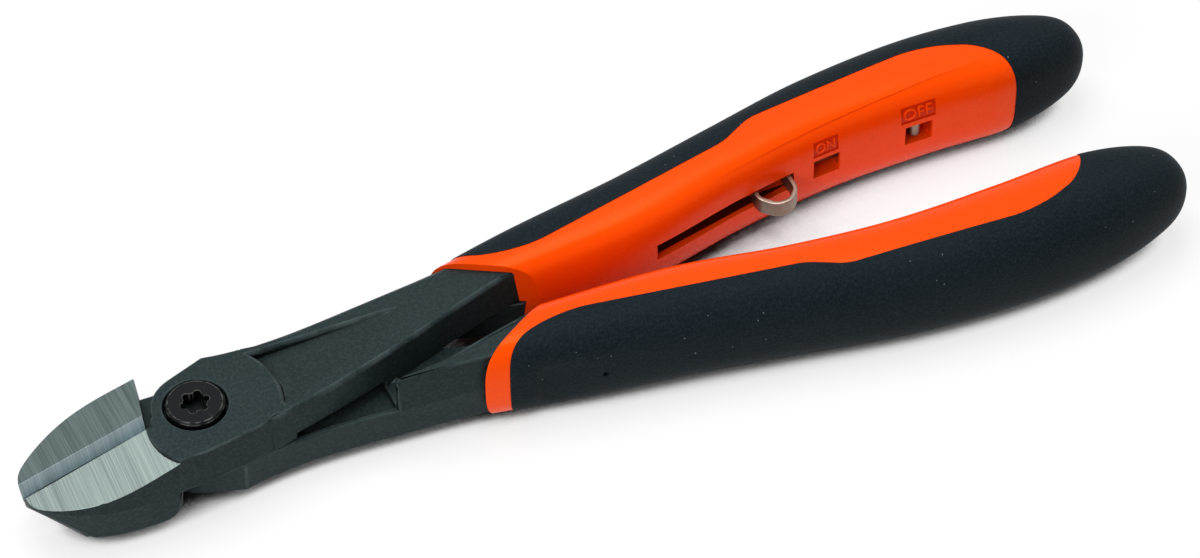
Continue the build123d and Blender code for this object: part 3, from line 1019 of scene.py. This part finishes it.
@dataclass
class Handle:
    """Two-component handle: an orange core and a black soft grip."""

    side: HandleSide
    body: str
    prefix: str
    start_x: float = 43.0
    end_x: float = 171.8
    # Rings along the handle, how much they crowd towards its end, and points round each
    stations: int = 200
    crowding: float = 1.6
    around: int = 72
    # Share of the length, inner edge, outer edge and half thickness
    sections: tuple[tuple[float, float, float, float], ...] = (
        (0.00, 2.2, 11.2, 8.1),
        (0.13, 2.1, 15.0, 8.5),
        (0.30, 3.4, 18.7, 8.8),
        (0.45, 7.3, 22.3, 9.1),
        (0.59, 9.5, 25.7, 9.4),
        (0.74, 9.6, 27.2, 9.6),
        (0.86, 8.9, 26.3, 9.3),
        (0.935, 9.7, 24.2, 8.2),
        (0.98, 11.8, 21.6, 6.0),
        (1.00, 16.4, 17.0, 0.3),
    )
    collar: tuple[Range, Range] = ((46.6, 10.8), (59.5, 3.2))
    collar_round_mm: float = 0.5
    collar_degrees: float = 50.0
    # Fullness of the section: outside at the collar, outside in the hand, inside and at the end
    outer_fullness: Range = (3.0, 2.5)
    inner_fullness: float = 3.6
    end_fullness: float = 2.2
    collar_share: float = 0.3
    grip_line: tuple[Range, ...] = (
        (48.2, 40.0),
        (48.2, 13.6),
        (51.5, 9.9),
        (59.6, 7.0),
        (101.2, 14.7),
        (107.4, 17.9),
        (141.5, 20.4),
        (152.6, 16.0),
        (155.6, 7.0),
        (155.6, -10.0),
    )
    # Where the line's rounding starts at each of its inner points
    line_bends_mm: tuple[float, ...] = (2.3, 2.4, 5.8, 1.5, 1.5, 5.0, 4.5, 1.5)
    # How far the grip's region runs past the handle in X, and half its height
    region_x: float = 190.0
    region_half: float = 20.0
    round_end_share: float = 0.86
    rest_open_degrees: float = 0.8
    core_inset: float = 0.12
    # Start in X, middle in Z, depth, run of the step, reach in Z and length over which it fades
    dent: tuple[float, float, float, float, float, float] = (53.4, -1.5, 1.15, 1.5, 5.5, 9.0)
    # Middle in X and Z, radius and depth
    mould_hole: tuple[float, float, float, float] | None = None

    def section(self, share: float) -> tuple[float, float, float]:
        """Inner edge, outer edge and half thickness at a share of the length.

        Args:
            share: Place along the handle from 0 to 1.

        Returns:
            The three sizes in millimetres.
        """
        place = math.sqrt(max(0.0, 1.0 - share))
        knots = [math.sqrt(1.0 - row[0]) for row in self.sections]
        inner, outer, half = (
            smooth_through(knots, [row[column] for row in self.sections], place) for column in (1, 2, 3)
        )
        return inner, outer, half

    def blank(self, inset: float) -> bmesh.types.BMesh:
        """Whole handle as one closed skin, cut off along the collar.

        Args:
            inset: How far the skin lies inside the handle's outline, in millimetres.

        Returns:
            The mesh, at +Y.
        """
        bm = bmesh.new()
        bmesh.ops.create_grid(bm, x_segments=self.stations, y_segments=self.around, size=0.5)
        for vert in bm.verts:
            run = vert.co.x + 0.5
            share = 1.0 - (1.0 - run) ** self.crowding
            turn = 2.0 * math.pi * (vert.co.y + 0.5)
            inner, outer, half = self.section(share)
            inner, outer, half = inner + inset, outer - inset, half - inset
            across, up = math.cos(turn), math.sin(turn)
            to_hand = min(share / self.collar_share, 1.0)
            at_collar, in_hand = self.outer_fullness
            fullness = at_collar + (in_hand - at_collar) * to_hand if across > 0.0 else self.inner_fullness
            to_end = max(0.0, (share - self.round_end_share) / (1.0 - self.round_end_share))
            fullness += (self.end_fullness - fullness) * to_end
            power = 2 / fullness
            y = (inner + outer) / 2 + (outer - inner) / 2 * math.copysign(abs(across) ** power, across)
            z = half * math.copysign(abs(up) ** power, up)
            x = self.start_x + share * (self.end_x - self.start_x)
            if across > 0.0:
                y -= self.dent_depth(x, z)
            vert.co = mm(x, y, z)
        bmesh.ops.remove_doubles(bm, verts=bm.verts, dist=0.001 * MM)
        bmesh.ops.holes_fill(bm, edges=[e for e in bm.edges if e.is_boundary], sides=0)
        (x0, y0), (x1, y1) = self.collar
        normal = Vector((y0 - y1, x1 - x0, 0.0)).normalized()
        bmesh.ops.recalc_face_normals(bm, faces=bm.faces)
        cut = bmesh.ops.bisect_plane(
            bm,
            geom=bm.verts[:] + bm.edges[:] + bm.faces[:],
            plane_co=mm(x0, y0, 0.0),
            plane_no=normal,
            clear_inner=True,
        )
        rim = [g for g in cut["geom_cut"] if isinstance(g, bmesh.types.BMEdge)]
        bmesh.ops.holes_fill(bm, edges=rim, sides=0)
        rim = [e for e in rim if e.is_valid and e.calc_face_angle(0.0) > math.radians(self.collar_degrees)]
        bevel(bm, rim, self.collar_round_mm, 3, clamped=True)
        return bm

    def dent_depth(self, x: float, z: float) -> float:
        """Depth of the shallow step behind the collar, on the handle's outer side, in millimetres."""
        start_x, middle_z, depth, run, reach_z, fade = self.dent
        rise = min(1.0, max(0.0, (x - start_x) / run))
        rise *= rise * (3.0 - 2.0 * rise)
        return depth * rise * math.exp(-max(0.0, x - start_x - run) / fade - ((z - middle_z) / reach_z) ** 4)

    def region(self) -> bmesh.types.BMesh:
        """Tall prism over everything on the grip's side of its edge line.

        Returns:
            The mesh, at +Y.
        """
        bm = bmesh.new()
        low_y, high_y = self.grip_line[-1][1], self.grip_line[0][1]
        outline = [*self.grip_line, (self.region_x, low_y), (self.region_x, high_y)]
        verts = [bm.verts.new(mm(x, y, -self.region_half)) for x, y in outline]
        floor = bm.faces.new(verts)
        raised = bmesh.ops.extrude_face_region(bm, geom=[floor])
        top = [g for g in raised["geom"] if isinstance(g, bmesh.types.BMVert)]
        bmesh.ops.translate(bm, verts=top, vec=(0.0, 0.0, 2.0 * self.region_half * MM))
        for (x, y), bend in zip(self.grip_line[1:-1], self.line_bends_mm):
            upright = [e for e in bm.edges if abs(e.verts[0].co.z - e.verts[1].co.z) > self.region_half * MM]
            corner = [e for e in upright if (e.verts[0].co.xy - mm(x, y, 0.0).xy).length < 0.01 * MM]
            bevel(bm, corner, bend, 10)
        bmesh.ops.recalc_face_normals(bm, faces=bm.faces)
        return bm

    def place(self, bm: bmesh.types.BMesh) -> None:
        """Moves a mesh made at +Y to this handle's side, where the plain one stands slightly open."""
        if self.side is HandleSide.PLAIN:
            bmesh.ops.scale(bm, vec=(1.0, -1.0, 1.0), verts=bm.verts)
            bmesh.ops.reverse_faces(bm, faces=bm.faces)
            turn = Matrix.Rotation(math.radians(-self.rest_open_degrees), 3, "Z")
            bmesh.ops.rotate(bm, cent=(0.0, 0.0, 0.0), matrix=turn, verts=bm.verts)

    def cutters(self, part: str) -> list[bpy.types.Object]:
        """Cuts the mould's small hole out of the grip's outer side, where the handle has one.

        Args:
            part: "core" or "grip".

        Returns:
            The cutting pieces.
        """
        if part != "grip" or self.mould_hole is None:
            return []
        x, z, radius, depth = self.mould_hole
        outer = self.section((x - self.start_x) / (self.end_x - self.start_x))[1]
        bm = bmesh.new()
        bmesh.ops.create_cone(
            bm,
            cap_ends=True,
            segments=24,
            radius1=radius * MM,
            radius2=radius * MM,
            depth=4.0 * depth * MM,
            matrix=Matrix.Translation(mm(x, outer + depth, z)) @ Matrix.Rotation(math.radians(90.0), 4, "X"),
        )
        self.place(bm)
        return [add_piece("cut_mould_hole", bm, [])]

    def build(self, finishes: Finishes) -> tuple[bpy.types.Object, bpy.types.Object]:
        """Makes the core and the grip in place of their nodes.

        Args:
            finishes: The cutter's materials.

        Returns:
            The core and the grip.
        """
        pieces = []
        for part, operation, material in (
            ("core", "DIFFERENCE", finishes.orange),
            ("grip", "INTERSECT", finishes.black),
        ):
            blank = self.blank(self.core_inset if part == "core" else 0.0)
            self.place(blank)
            piece = add_piece(f"{self.prefix}_{part}_skin", blank, [material])
            region = self.region()
            self.place(region)
            cutter = add_piece(f"{self.prefix}_{part}_region", region, [])
            tools = [(cutter, operation)]
            tools += [(tool, "DIFFERENCE") for tool in self.cutters(part)]
            apply_booleans(piece, tools)
            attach(piece, self.body)
            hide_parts(f"{self.prefix}_{part}")
            LOG.info("%s: %d faces", piece.name, len(piece.data.polygons))
            pieces.append(piece)
        return pieces[0], pieces[1]


def apply_booleans(
    piece: bpy.types.Object,
    tools: list[tuple[bpy.types.Object, str]],
    weld_mm: float = 0.0005,
    smooth_degrees: float = 35.0,
) -> None:
    """Cuts a piece with other meshes, which are then removed.

    Args:
        piece: The piece to cut.
        tools: Each tool with its operation.
        weld_mm: Distance within which points are merged afterwards, in millimetres.
        smooth_degrees: Smallest angle of an edge that is shaded sharp.
    """
    for tool, operation in tools:
        modifier = piece.modifiers.new("cut", "BOOLEAN")
        modifier.object = tool
        modifier.operation = operation
        modifier.solver = "EXACT"
    bpy.context.view_layer.update()
    graph = bpy.context.evaluated_depsgraph_get()
    mesh = bpy.data.meshes.new_from_object(piece.evaluated_get(graph))
    materials = list(piece.data.materials)
    piece.modifiers.clear()
    piece.data = mesh
    mesh.materials.clear()
    for material in materials:
        mesh.materials.append(material)
    for tool, _ in tools:
        bpy.data.objects.remove(tool)
    bm = bmesh.new()
    bm.from_mesh(mesh)
    bmesh.ops.remove_doubles(bm, verts=bm.verts, dist=weld_mm * MM)
    for face in bm.faces:
        face.material_index = 0
    smooth_by_angle(bm, smooth_degrees)
    bm.to_mesh(mesh)
    bm.free()


@dataclass
class SpringHandle(Handle):
    """Handle with the spring's slot, channel, windows and their two labels."""

    slot_x: Range = (83.7, 112.0)
    channel_x: Range = (83.7, 140.6)
    channel_y: Range = (10.55, 13.25)
    channel_half: float = 1.75
    windows_x: Range = (118.6, 136.5)
    window_size: Range = (5.2, 4.1)
    # Word, middle in X and Z, plate width and height
    labels: tuple[tuple[str, float, float, float, float], ...] = (
        ("ON", 118.4, 4.45, 4.9, 3.2),
        ("OFF", 136.3, 4.75, 6.6, 3.4),
    )
    slot_lip: float = 1.3
    # Depth from which a face belongs to a cut, and depth to which it belongs to a plate
    cut_from: float = 0.1
    plate_to: float = 1.0
    plate_depth: float = 0.28
    # Where the cutting blocks start, in front of the core's inner face
    front_y: float = -2.0
    panel_front_y: float = 4.0
    plate_front_y: float = 6.0
    letter_margin: float = 0.6
    # Depth of the letters' faces and of their roots, the second below the plate
    letter_face: float = 0.02
    letter_root: float = 0.15
    # Half height within which the cuts lie, and how far their faces may lie outside their sizes
    cuts_half: float = 6.5
    spare: float = 0.1
    # How much taller the channel is than the slot, and how much shallower the windows are than it
    channel_more: float = 0.01
    window_less: float = 0.02
    # X, half height and depth of the sunk panel, which fades out at both ends
    panel_line: tuple[tuple[float, float, float], ...] = (
        (92.0, 7.5, -0.06),
        (96.0, 7.6, 0.0),
        (113.0, 8.05, 0.22),
        (122.0, 8.35, 0.25),
        (131.0, 8.7, 0.25),
        (140.0, 9.0, 0.25),
        (148.6, 9.05, 0.12),
        (152.0, 9.05, -0.06),
    )

    def panel(self, x: float) -> tuple[float, float]:
        """Half height and depth of the sunk panel at a place along the handle, in millimetres."""
        for (x0, height0, depth0), (x1, height1, depth1) in zip(self.panel_line, self.panel_line[1:]):
            if x <= x1:
                t = max(0.0, (x - x0) / (x1 - x0))
                return height0 + (height1 - height0) * t, depth0 + (depth1 - depth0) * t
        return self.panel_line[-1][1:]

    def inner_y(self, x: float, z: float) -> float:
        """Where the core's inner face lies at a place in its sunk panel, in millimetres."""
        inner, outer, half = self.section((x - self.start_x) / (self.end_x - self.start_x))
        half -= self.core_inset
        reach = (outer - inner) / 2 - self.core_inset
        fallen = (1.0 - min(1.0, abs(z) / half) ** self.inner_fullness) ** (1 / self.inner_fullness)
        return (inner + outer) / 2 - reach * fallen + self.panel(x)[1]

    def letters(self, word: str, x: float, z: float, width: float, height: float) -> bmesh.types.BMesh:
        """Raised letters that follow the core's inner face.

        Args:
            word: What they say.
            x: Their middle along the handle.
            z: Their middle above the head's middle plane.
            width: Width of the whole word.
            height: Height of the letters.

        Returns:
            The mesh.
        """
        curve = bpy.data.curves.new(word, "FONT")
        curve.body = word
        curve.extrude = 0.5
        curve.resolution_u = 4
        text = bpy.data.objects.new(word, curve)
        bpy.context.scene.collection.objects.link(text)
        bpy.context.view_layer.update()
        bm = bmesh.new()
        mesh = bpy.data.meshes.new_from_object(text.evaluated_get(bpy.context.evaluated_depsgraph_get()))
        bm.from_mesh(mesh)
        bpy.data.objects.remove(text)
        bpy.data.meshes.remove(mesh)
        bmesh.ops.remove_doubles(bm, verts=bm.verts, dist=1e-5)
        xs = [v.co.x for v in bm.verts]
        ys = [v.co.y for v in bm.verts]
        for vert in bm.verts:
            place_x = x + ((vert.co.x - min(xs)) / (max(xs) - min(xs)) - 0.5) * width
            place_z = z + ((vert.co.y - min(ys)) / (max(ys) - min(ys)) - 0.5) * height
            depth = self.letter_face if vert.co.z > 0.0 else self.plate_depth + self.letter_root
            vert.co = mm(place_x, self.inner_y(place_x, place_z) + depth, place_z)
        bmesh.ops.recalc_face_normals(bm, faces=bm.faces)
        return bm

    def add_labels(self, finishes: Finishes) -> None:
        """Adds the letters of each label.

        Args:
            finishes: The cutter's materials.
        """
        for word, x, z, width, height in self.labels:
            margin = 2 * self.letter_margin
            bm = self.letters(word, x, z, width - margin, height - margin)
            piece = add_piece(f"label_{word.lower()}", bm, [finishes.orange])
            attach(piece, self.body)
            LOG.info("%s: %d faces", piece.name, len(piece.data.polygons))

    def sunk_block(
        self, steps: tuple[int, int], front_y: float, floor: Callable[[float, float], Point]
    ) -> bmesh.types.BMesh:
        """Block from in front of the core's inner face down to a floor that follows it.

        Args:
            steps: Its faces along and across the floor.
            front_y: Where it starts.
            floor: Gives the floor's point for a place from -0.5 to 0.5 along and across it.

        Returns:
            The mesh.
        """
        bm = bmesh.new()
        bmesh.ops.create_grid(bm, x_segments=steps[0], y_segments=steps[1], size=0.5)
        raised = bmesh.ops.extrude_face_region(bm, geom=bm.faces[:])
        for vert in [g for g in raised["geom"] if isinstance(g, bmesh.types.BMVert)]:
            vert.co.z = 1.0
        for vert in bm.verts:
            x, y, z = floor(vert.co.x, vert.co.y)
            vert.co = mm(x, y if vert.co.z > 0.5 else front_y, z)
        bmesh.ops.recalc_face_normals(bm, faces=bm.faces)
        return bm

    def panel_block(self) -> bmesh.types.BMesh:
        """Block that cuts the sunk panel, its floor parallel to the core's inner face."""
        start, end = self.panel_line[0][0], self.panel_line[-1][0]

        def floor(along: float, across: float) -> Point:
            """Point of the panel's floor."""
            x = start + (along + 0.5) * (end - start)
            z = 2.0 * across * self.panel(x)[0]
            return x, self.inner_y(x, z), z

        return self.sunk_block((60, 32), self.panel_front_y, floor)

    def plate(self, x: float, z: float, width: float, height: float) -> bmesh.types.BMesh:
        """Block that cuts a label's shallow plate, its floor parallel to the core's inner face."""

        def floor(along: float, across: float) -> Point:
            """Point of the plate's floor."""
            place_x, place_z = x + along * width, z + across * height
            return place_x, self.inner_y(place_x, place_z) + self.plate_depth, place_z

        return self.sunk_block((6, 4), self.plate_front_y, floor)

    def build(self, finishes: Finishes) -> tuple[bpy.types.Object, bpy.types.Object]:
        """Makes the core and the grip, with painted shade on the slot's deep faces and on the labels' plates.

        Args:
            finishes: The cutter's materials.

        Returns:
            The core and the grip.
        """
        core, grip = super().build(finishes)
        core.data.materials.append(finishes.slot_painted_shade)
        core.data.materials.append(finishes.plate_painted_shade)
        bm = bmesh.new()
        bm.from_mesh(core.data)
        start, end = (mm(x, self.inner_y(x, 0.0) + self.slot_lip, 0.0) for x in self.slot_x)
        along = end - start
        walls = [f for f in bm.faces if self.cut_depth(f) > self.cut_from and self.in_slot(f)]
        edges = {e for f in walls for e in f.edges}
        verts = {v for f in walls for v in f.verts}
        inwards = Vector((-along.y, along.x, 0.0)).normalized()
        bmesh.ops.bisect_plane(bm, geom=[*walls, *edges, *verts], plane_co=start, plane_no=inwards)
        # Painted shade: faces deep in the slot take a near-black orange, and the labels' plates a darker one
        for face in bm.faces:
            depth = self.cut_depth(face)
            if depth > self.slot_lip and self.in_slot(face):
                face.material_index = 1
            elif self.cut_from < depth < self.plate_to and self.over_windows(face):
                face.material_index = 2
        bm.to_mesh(core.data)
        bm.free()
        return core, grip

    def cut_depth(self, face: bmesh.types.BMFace) -> float:
        """How deep under the core's inner face a cut's face lies, in millimetres, or 0 for any other face."""
        x, y, z = face.calc_center_median_weighted() / MM
        z -= HEAD_HALF
        along = self.channel_x[0] - self.spare < x < self.channel_x[1]
        if along and abs(z) < self.cuts_half and y < self.channel_y[1] + self.spare:
            return max(0.0, y - self.inner_y(x, z))
        return 0.0

    def in_slot(self, face: bmesh.types.BMFace) -> bool:
        """Whether a face lies within the slot's length and height."""
        x, _, z = face.calc_center_median_weighted() / MM
        along = self.slot_x[0] - self.spare < x < self.slot_x[1] + self.spare
        return along and abs(z - HEAD_HALF) < self.channel_half + self.spare

    def over_windows(self, face: bmesh.types.BMFace) -> bool:
        """Whether a face lies above the windows."""
        return face.calc_center_median_weighted().z / MM - HEAD_HALF > self.window_size[1] / 2 + self.spare

    def cutters(self, part: str) -> list[bpy.types.Object]:
        """Blocks that cut the slot, the channel, the windows, the sunk panel and the labels' plates.

        Args:
            part: "core" or "grip".

        Returns:
            The cutting pieces.
        """
        if part != "core":
            return super().cutters(part)
        half = self.channel_half
        boxes = [
            (self.slot_x, (self.front_y, self.channel_y[1]), (-half, half)),
            (self.channel_x, self.channel_y, (-half - self.channel_more, half + self.channel_more)),
        ]
        for x in self.windows_x:
            width, height = self.window_size
            deep = (self.front_y, self.channel_y[1] - self.window_less)
            boxes.append(((x - width / 2, x + width / 2), deep, (-height / 2, height / 2)))
        made = [add_piece("cut_panel", self.panel_block(), [])]
        for number, spans in enumerate(boxes):
            bm = bmesh.new()
            bmesh.ops.create_cube(bm, size=1.0)
            size = Vector([high - low for low, high in spans]) * MM
            bmesh.ops.scale(bm, vec=size, verts=bm.verts)
            bmesh.ops.translate(bm, vec=mm(*((low + high) / 2 for low, high in spans)), verts=bm.verts)
            made.append(add_piece(f"cut_{number}", bm, []))
        for word, x, z, width, height in self.labels:
            made.append(add_piece(f"cut_{word.lower()}", self.plate(x, z, width, height), []))
        return made


# Studio


def seen_rays(tree: bpy.types.NodeTree) -> bpy.types.NodeSocket:
    """Adds a mask that is 1 for camera, glossy and transmission rays.

    Args:
        tree: The node tree it is added to.

    Returns:
        The mask's socket.
    """
    rays = tree.nodes.new("ShaderNodeLightPath").outputs
    seen = join_math(tree, "ADD", rays["Is Camera Ray"], rays["Is Glossy Ray"], clamped=True)
    return join_math(tree, "ADD", seen, rays["Is Transmission Ray"], clamped=True)


@dataclass
class Studio:
    """Pale floor, soft lights and the photograph's camera."""

    azimuth: float = -24.38
    elevation: float = 47.22
    roll: float = -0.886
    target: tuple[float, float] = (72.47, 2.58)
    distance: float = 663.3
    lens: float = 119.55
    floor_half: float = 2.0
    floor_pale: Colour = (0.88, 0.88, 0.88)
    # Painted shade that the floor takes in narrow gaps
    floor_gap_painted_shade: Colour = (0.06, 0.06, 0.06)
    floor_roughness: float = 0.9
    floor_glow: float = 0.74
    # Distance in metres and openness between which the floor in a narrow gap goes from painted shade to pale,
    # its glow fading out there too
    gap_reach: float = 0.03
    gap_share: Range = (0.25, 0.42)
    room_light: float = 0.35
    # Middle of the cutter, at which the lamps point
    middle: Point = (0.07, 0.0, 0.0)
    # Name, place, width and height in metres, and watts of each lamp
    lamps: tuple[tuple[str, Point, Range, float], ...] = (
        ("overhead", (0.05, 0.20, 0.85), (0.7, 0.5), 6.4),
        ("front_left", (-0.45, -0.35, 0.40), (0.4, 0.3), 2.2),
    )

    def camera(self) -> None:
        """Places the camera that was solved from the photograph."""
        a, e, r = (math.radians(v) for v in (self.azimuth, self.elevation, self.roll))
        back = Vector((math.sin(a) * math.cos(e), -math.cos(a) * math.cos(e), math.sin(e)))
        right = Vector((math.cos(a), math.sin(a), 0.0))
        up = back.cross(right)
        x_axis = right * math.cos(r) + up * math.sin(r)
        y_axis = up * math.cos(r) - right * math.sin(r)
        data = bpy.data.cameras.new("camera")
        data.lens = self.lens
        data.clip_start = 0.01
        camera = bpy.data.objects.new("camera", data)
        turn = Matrix((x_axis, y_axis, back)).transposed().to_4x4()
        camera.matrix_world = Matrix.Translation(mm(*self.target, 0.0) + back * self.distance * MM) @ turn
        bpy.context.scene.collection.objects.link(camera)
        bpy.context.scene.camera = camera

    def floor(self) -> None:
        """Lays a pale floor under the cutter, with painted shade in the narrow gaps under and between its
        parts.
        """
        bm = bmesh.new()
        bmesh.ops.create_grid(bm, x_segments=1, y_segments=1, size=self.floor_half)
        bmesh.ops.translate(bm, vec=(self.middle[0], self.middle[1], FLOOR_Z * MM), verts=bm.verts)
        sheet = Sheet("pale_floor")
        sheet.shader.inputs["Roughness"].default_value = self.floor_roughness
        sheet.shader.inputs["Specular IOR Level"].default_value = 0.0
        glow = sheet.node("ShaderNodeEmission")
        blend = sheet.node("ShaderNodeMixShader")
        # Painted shade: where other things close in, the floor's colour darkens and its glow fades
        nearby = sheet.node("ShaderNodeAmbientOcclusion", samples=16)
        nearby.inputs["Distance"].default_value = self.gap_reach
        openness = sheet.spread(nearby.outputs["AO"], 0.0, 1.0, self.gap_share)
        base = sheet.mix(openness, self.floor_gap_painted_shade, self.floor_pale)
        sheet.join(base, sheet.shader.inputs["Base Color"])
        open_floor = sheet.spread(nearby.outputs["AO"], 0.0, self.floor_glow, self.gap_share)
        sheet.join(join_math(sheet.tree, "MULTIPLY", seen_rays(sheet.tree), open_floor), blend.inputs[0])
        sheet.join(sheet.shader.outputs[0], blend.inputs[1])
        sheet.join(glow.outputs[0], blend.inputs[2])
        sheet.join(blend.outputs[0], sheet.tree.nodes["Material Output"].inputs["Surface"])
        add_piece("floor", bm, [sheet.material])

    def lamp(self, name: str, place: Point, size: Range, watts: float) -> None:
        """Adds a soft lamp that faces the cutter.

        Args:
            name: Name of the lamp.
            place: Where it hangs, in metres.
            size: Its width and height in metres.
            watts: Its power.
        """
        data = bpy.data.lights.new(name, "AREA")
        data.shape = "RECTANGLE"
        data.size, data.size_y = size
        data.energy = watts
        lamp = bpy.data.objects.new(name, data)
        lamp.location = place
        aim = Vector(self.middle) - Vector(place)
        lamp.rotation_euler = aim.to_track_quat("-Z", "Y").to_euler()
        bpy.context.scene.collection.objects.link(lamp)

    def world(self) -> None:
        """Lights the room with an even pale world."""
        world = bpy.data.worlds.new("room")
        world.use_nodes = True
        back = world.node_tree.nodes["Background"]
        back.inputs["Color"].default_value = (1.0, 1.0, 1.0, 1.0)
        strength = world.node_tree.nodes.new("ShaderNodeMapRange")
        strength.inputs["To Min"].default_value = self.room_light
        strength.inputs["To Max"].default_value = 1.0
        world.node_tree.links.new(seen_rays(world.node_tree), strength.inputs["Value"])
        world.node_tree.links.new(strength.outputs["Result"], back.inputs["Strength"])
        bpy.context.scene.world = world

    def build(self) -> None:
        """Sets up the whole stage."""
        self.camera()
        self.floor()
        self.world()
        for lamp in self.lamps:
            self.lamp(*lamp)
        bpy.context.scene.view_settings.view_transform = "Standard"


def main() -> None:
    """Builds the cutter's looks in order."""
    logging.basicConfig(level=logging.INFO, format="%(message)s")
    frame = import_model()
    finishes = Finishes()
    near = [finishes.forged, finishes.facet_painted_lighter, finishes.bevel]
    far = [finishes.forged, finishes.facet_painted_darker, finishes.bevel]
    top = Forging("top_forging_skin", "top_forging", "spring_half", "forged_steel_top", 0.3, side=-1.0)
    top.build(frame, near)
    bottom = Forging(
        "bottom_forging_skin",
        "bottom_forging",
        "plain_half",
        "forged_steel_bottom",
        0.3,
        side=1.0,
        arm_round_mm=0.35,
    )
    bottom.build(frame, far)
    screw = SteelPiece("pivot_screw_skin", "pivot_screw", "plain_half", "screw_steel", 0.12, 40.0)
    screw.build(frame, [finishes.screw])
    ReturnSpring().build(finishes)
    spring_handle = SpringHandle(HandleSide.SPRING, "spring_half", "spring_handle")
    spring_handle.build(finishes)
    spring_handle.add_labels(finishes)
    Handle(HandleSide.PLAIN, "plain_half", "plain_handle", mould_hole=(64.9, -0.7, 0.5, 2.0)).build(finishes)
    Studio().build()


if __name__ == "__main__":
    main()
